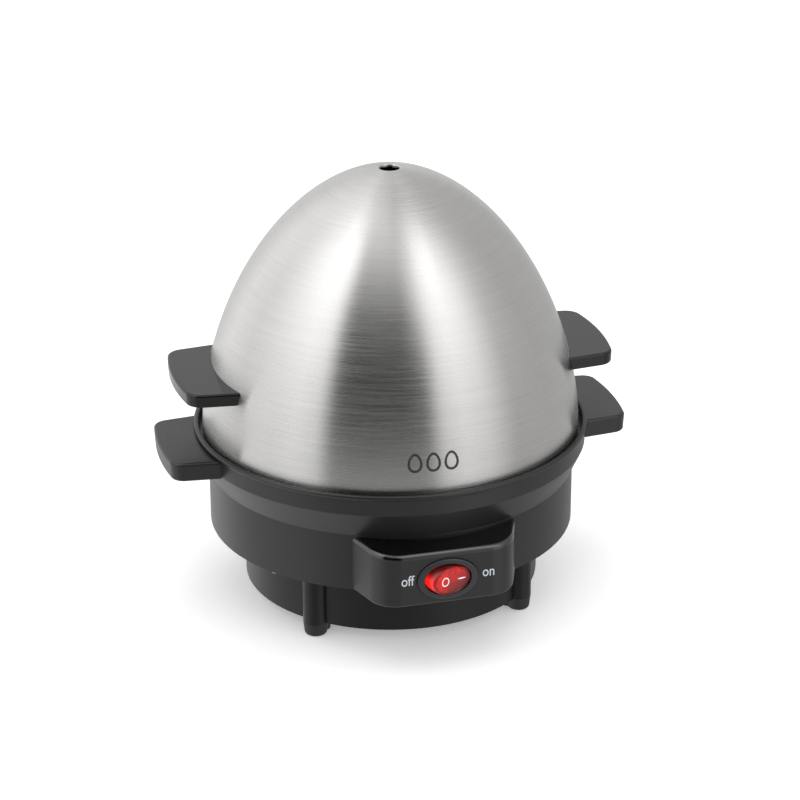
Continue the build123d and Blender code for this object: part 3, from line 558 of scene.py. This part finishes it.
def face_ring(share, sink):
    """Points on the face at a share of its outline, sunk below it by a distance."""
    ring = []
    for t in TURNS:
        x, z = ROCKER_OUTLINE[0] * share * math.cos(t), ROCKER_OUTLINE[1] * share * math.sin(t)
        ring.append((x, face_y(x) + sink, z))
    return ring


bm = bmesh.new()
rings = [wall_ring(depth) for depth in (ROCKER_BACK, 3.0, 1.5, 0.0, -1.2, -2.4, -3.2, -3.75)]
ROUNDING = ((0.995, 0.28), (0.985, 0.12), (0.965, 0.03), (0.945, 0.0))
RIM_GROOVE = ((0.925, 0.01), (0.915, 0.12), (0.9, 0.16), (0.885, 0.12), (0.872, 0.03))
FLAT = ((0.85, 0.0), (0.7, 0.0), (0.5, 0.0), (0.3, 0.0), (0.12, 0.0))
rings += [face_ring(share, sink) for share, sink in ROUNDING + RIM_GROOVE + FLAT]
made = [[bm.verts.new(Vector(p) * MM) for p in ring] for ring in rings]
for a, b in zip(made, made[1:]):
    for i in range(COUNT):
        j = (i + 1) % COUNT
        bm.faces.new((a[i], a[j], b[j], b[i]))
bm.faces.new(made[0])
bm.faces.new(made[-1])
rocker = finish_mesh("rocker_cap", bm, LOOKS["rocker_red"], None, 40.0)
rocker.matrix_world = rocker_place
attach(rocker, "rocker")
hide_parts("switch_rocker")

mark_ink = ink("white_inlay", rgb(250, 250, 250), 0.4)


MARK_LIFT = 0.04


def rocker_mark(name, outer, inner):
    """White mark just proud of the rocker's face, between two flat outlines."""
    bm = bmesh.new()
    lines = [[Vector((x, face_y(x) - MARK_LIFT, z)) * MM for x, z in line] for line in (outer, inner)]
    ring_strip(bm, *lines)
    obj = finish_mesh(name, bm, mark_ink, None)
    obj.matrix_world = rocker_place
    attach(obj, "rocker")


def flat_oval(cx, cz, half_x, half_z, count=48):
    return [(cx + half_x * math.cos(2 * math.pi * i / count), cz + half_z * math.sin(2 * math.pi * i / count))
            for i in range(count)]


OFF_CENTRE, ON_CENTRE = (-3.0, 0.1), (4.4, 0.1)
rocker_mark("rocker_off_ring", flat_oval(*OFF_CENTRE, 1.75, 1.95), flat_oval(*OFF_CENTRE, 1.3, 1.5))
rocker_mark("rocker_on_bar", flat_oval(*ON_CENTRE, 1.75, 0.3), flat_oval(*ON_CENTRE, 0.05, 0.02))


# ---- Floor, light tent and lights ---------------------------------------------------------------
def floor_material():
    """Pale table that glows a little, so that the shadow on it stays faint."""
    m, s = material("pale_floor")
    p = s.place()
    cloud = s.noise(s.scaled(p, 6.0), detail=2.0)
    tone = s.mix(cloud, (0.9, 0.9, 0.9), (0.93, 0.93, 0.93))
    s.surface(Base_Color=tone, Roughness=0.9, Specular_IOR_Level=0.1, Emission_Color=(1, 1, 1, 1),
              Emission_Strength=0.3)
    return m


bm = bmesh.new()
bmesh.ops.create_grid(bm, x_segments=8, y_segments=8, size=4.0)
floor = finish_mesh("floor", bm, floor_material(), None)
floor.location.z = cad_box[0].z
floor.visible_glossy = False

# The tent is seen only in reflections, and stands still in the room. Its local -Y axis points towards
# the camera that this script sets.
TENT_R = 2.2
bm = bmesh.new()
bmesh.ops.create_uvsphere(bm, u_segments=96, v_segments=48, radius=TENT_R)
m, s = material("tent_glow")
x, y, z = s.parts(s.place())
bearing = s.math("ARCTAN2", x, s.math("MULTIPLY", y, -1.0))
turn = s.span(bearing, -math.pi, math.pi)
height = s.math("DIVIDE", z, TENT_R)


def at(degrees):
    """Place on a ramp of a bearing, with 0 towards the camera and positive to its right."""
    return (degrees + 180) / 360


# How bright the walls are by bearing, and by level, from 0 underfoot to 1 overhead.
level = s.span(height, -1.0, 1.0)
side = s.ramp(turn, [(at(-180), 0.83), (at(-155), 0.88), (at(-130), 1.25), (at(-105), 1.1), (at(-82), 1.3),
                     (at(-58), 1.4), (at(-36), 1.0), (at(26), 0.9), (at(45), 1.35), (at(60), 1.25),
                     (at(80), 0.74), (at(108), 0.6), (at(130), 0.62), (at(155), 0.6), (at(180), 0.83)])
rise = s.ramp(level, [(0.0, 0.75), (0.4, 0.7), (0.5, 0.75), (0.65, 0.95), (0.76, 1.22), (0.87, 1.5),
                      (0.94, 1.55), (1.0, 1.1)])
panels = s.ramp(turn, [(at(-180), 0.15), (at(-110), 0.25), (at(-75), 1.0), (at(80), 1.0), (at(105), 0.2),
                       (at(180), 0.15)])
side = s.mix(1.0, side, s.mix(panels, (1.0, 1.0, 1.0), rise), "MULTIPLY")
# The side towards the camera is dark up to a high level.
front = s.ramp(level, [(0.0, 0.6), (0.38, 0.5), (0.47, 0.12), (0.6, 0.0), (0.82, 0.0), (0.9, 0.45),
                       (0.95, 1.1), (1.0, 1.3)])
# It narrows on its right towards the top.
narrow = s.math("MULTIPLY", s.span(height, 0.5, 0.9, 0.0, 16 / 360), s.math("GREATER_THAN", bearing, 0.0))
inside_front = s.ramp(s.math("ADD", turn, narrow),
                      [(at(-44), 0.0), (at(-34), 1.0), (at(22), 1.0), (at(32), 0.0)])
glow = s.mix(inside_front, side, front)
# Two narrow strips of lamps high up, left and right.
strips = s.ramp(turn, [(at(-80), 0.0), (at(-76), 1.0), (at(-42), 1.0), (at(-38), 0.0), (at(28), 0.0),
                       (at(32), 1.0), (at(60), 1.0), (at(66), 0.0)])
band = s.ramp(level, [(0.915, 0.0), (0.92, 1.0), (0.943, 1.0), (0.948, 0.0)])
glow = s.mix(1.0, glow, s.mix(1.0, strips, band, "MULTIPLY"), "ADD")
emission = s.node("ShaderNodeEmission", {"Color": glow, "Strength": 1.0})
s.node("ShaderNodeOutputMaterial", {"Surface": emission.outputs[0]})
tent = finish_mesh("light_tent", bm, m, None)
tent.rotation_euler.z = AZIMUTH
for kind in ("camera", "diffuse", "transmission", "volume_scatter", "shadow"):
    setattr(tent, "visible_" + kind, False)

world = bpy.data.worlds.new("studio")
bpy.context.scene.world = world
world.use_nodes = True
s = Shader(world.node_tree)
background = s.node("ShaderNodeBackground", {"Color": (1, 1, 1, 1), "Strength": 1.0})
s.node("ShaderNodeOutputWorld", {"Surface": background.outputs[0]})
world.cycles_visibility.glossy = False

top = bpy.data.lights.new("top_softbox", "AREA")
top.shape, top.size, top.size_y, top.energy = "RECTANGLE", 1.2, 1.2, 5.0
lamp = bpy.data.objects.new("top_softbox", top)
lamp.location = (-0.2, -0.1, 1.5)
lamp.rotation_euler = (Vector((0, 0, 0.05)) - Vector(lamp.location)).to_track_quat("-Z", "Y").to_euler()
lamp.visible_camera = False
lamp.visible_glossy = False
bpy.context.scene.collection.objects.link(lamp)

bpy.context.scene.view_settings.view_transform = "Standard"
